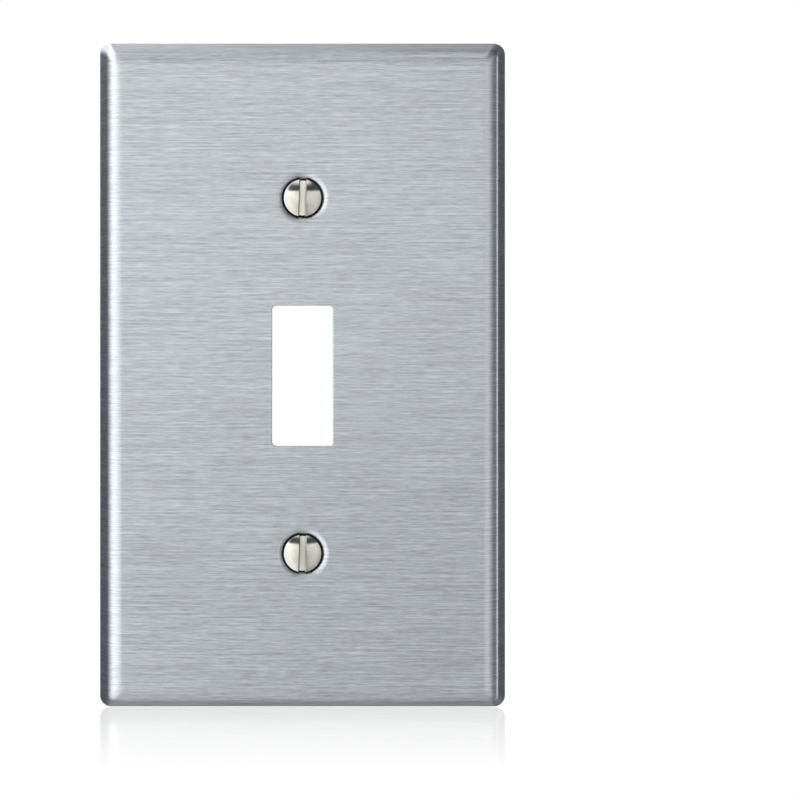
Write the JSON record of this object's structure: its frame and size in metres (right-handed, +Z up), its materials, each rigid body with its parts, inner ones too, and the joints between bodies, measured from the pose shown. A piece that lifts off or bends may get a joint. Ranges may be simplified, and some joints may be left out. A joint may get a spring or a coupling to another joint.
{
  "type": "toggle switch wall plate",
  "caption": "Standard-size wall plate for a toggle switch, pressed from brushed stainless steel, with slotted oval-head screws in countersunk dimples.",
  "frame": {"origin": "centre of the plate, in the plane of its rear rim, which is the surface of the wall", "axes": "+Z up the plate, +X to the right as seen from the front, -Y out of the wall, which the face looks along"},
  "size_m": [0.0698, 0.0136, 0.1142],
  "materials": {
    "brushed_stainless": "brushed across the plate, satin",
    "nickel_plate": "bright nickel plate over steel, slightly warm"
  },
  "bodies": {
    "plate": {"wall_plate": "brushed_stainless"},
    "upper_screw": {"screw_upper": "nickel_plate"},
    "lower_screw": {"screw_lower": "nickel_plate"}
  },
  "joints": [
    {"name": "upper_screw_travel", "type": "slide", "parent": "plate", "child": "upper_screw", "axis": [0, -1, 0], "range_m": [0, 0.016]},
    {"name": "lower_screw_travel", "type": "slide", "parent": "plate", "child": "lower_screw", "axis": [0, -1, 0], "range_m": [0, 0.016]}
  ]
}
